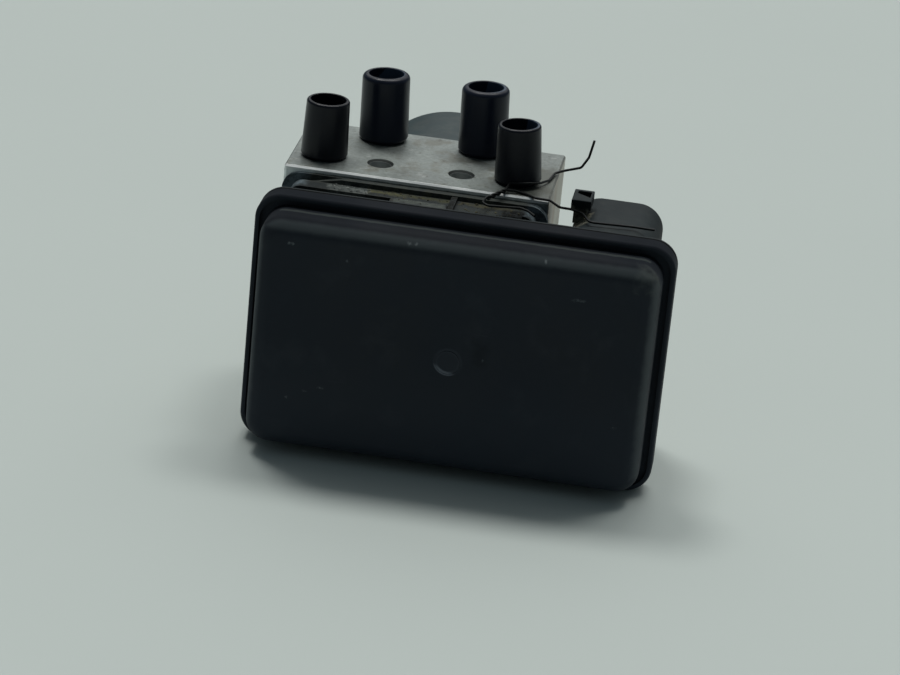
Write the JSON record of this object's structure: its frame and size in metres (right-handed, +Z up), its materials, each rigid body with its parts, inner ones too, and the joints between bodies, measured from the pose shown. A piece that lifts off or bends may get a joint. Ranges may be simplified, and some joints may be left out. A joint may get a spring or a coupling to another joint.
{
  "type": "abs brake module",
  "caption": "Anti-lock brake module: aluminium valve block with capped pipe ports, flat black controller with side connector, and a round pump motor.",
  "frame": {"origin": "centre of the whole part's outline, on the plane it rests on", "axes": "+X to the right seen from the lid, +Y from the lid to the motor, +Z up out of the block's ported top"},
  "size_m": [0.126, 0.1448, 0.1014],
  "materials": {
    "block_metal": "machined, dull",
    "housing_plastic": "moulded, satin",
    "lid_plastic": "moulded, smooth",
    "seal_rubber": "matt",
    "board_laminate": "solder mask",
    "chip_epoxy": "matt",
    "capacitor_can": "bright",
    "choke_ferrite": "matt",
    "contact_tin": "tinned",
    "valve_steel": "turned",
    "coil_case": "plated",
    "screw_steel": "zinc plated",
    "can_steel": "coated, smooth",
    "bearing_steel": "ground",
    "magnet_ferrite": "sintered",
    "holder_plastic": "moulded",
    "carbon": "pressed carbon",
    "spring_steel": "drawn",
    "shaft_steel": "ground",
    "lamination_steel": "stamped",
    "winding_copper": "enamelled",
    "commutator_copper": "turned",
    "sleeve_plastic": "moulded",
    "piston_steel": "ground",
    "cap_plastic": "moulded, satin",
    "wire_steel": "annealed, dark"
  },
  "bodies": {
    "module": {"valve_block": "block_metal", "controller_housing": "housing_plastic", "controller_lid": "lid_plastic", "housing_seal": "seal_rubber", "circuit_board": "board_laminate", "processor": "chip_epoxy", "driver_chips": "chip_epoxy", "filter_capacitors": "capacitor_can", "power_choke": "choke_ferrite", "connector_pins": "contact_tin", "inlet_valves": "valve_steel", "outlet_valves": "valve_steel", "solenoid_coils": "coil_case", "housing_screws": "screw_steel", "motor_screws": "screw_steel", "motor_can": "can_steel", "front_bearing": "bearing_steel", "rear_bearing": "bearing_steel", "motor_magnets": "magnet_ferrite", "brush_holder": "holder_plastic", "carbon_brushes": "carbon", "brush_springs": "spring_steel", "motor_leads": "contact_tin", "lead_sleeve": "sleeve_plastic", "left_pump_spring": "spring_steel", "right_pump_spring": "spring_steel", "pump_stoppers": "valve_steel", "left_accumulator_spring": "spring_steel", "right_accumulator_spring": "spring_steel", "accumulator_caps": "valve_steel", "small_port_caps": "cap_plastic", "large_port_caps": "cap_plastic", "tie_wire": "wire_steel"},
    "rotor": {"motor_shaft": "shaft_steel", "armature_core": "lamination_steel", "armature_windings": "winding_copper", "commutator": "commutator_copper", "pump_eccentric": "shaft_steel"},
    "pump_ring": {"eccentric_ring": "bearing_steel"},
    "left_pump": {"left_pump_piston": "piston_steel"},
    "right_pump": {"right_pump_piston": "piston_steel"},
    "left_accumulator": {"left_accumulator_piston": "piston_steel"},
    "right_accumulator": {"right_accumulator_piston": "piston_steel"}
  },
  "joints": [
    {"name": "rotor_spin", "type": "hinge", "parent": "module", "child": "rotor", "pos_m": [-0.02, 0.03, 0.04], "axis": [0, 1, 0], "continuous": true},
    {"name": "ring_spin", "type": "hinge", "parent": "rotor", "child": "pump_ring", "pos_m": [-0.02, -0.00565, 0.039], "axis": [0, 1, 0], "continuous": true},
    {"name": "left_pump_stroke", "type": "slide", "parent": "module", "child": "left_pump", "axis": [-1, 0, 0], "range_m": [0, 0.002], "deforming": ["left_pump_spring"]},
    {"name": "right_pump_stroke", "type": "slide", "parent": "module", "child": "right_pump", "axis": [1, 0, 0], "range_m": [0, 0.002], "deforming": ["right_pump_spring"]},
    {"name": "left_accumulator_stroke", "type": "slide", "parent": "module", "child": "left_accumulator", "axis": [0, 0, -1], "range_m": [0, 0.007], "deforming": ["left_accumulator_spring"]},
    {"name": "right_accumulator_stroke", "type": "slide", "parent": "module", "child": "right_accumulator", "axis": [0, 0, -1], "range_m": [0, 0.007], "deforming": ["right_accumulator_spring"]}
  ]
}
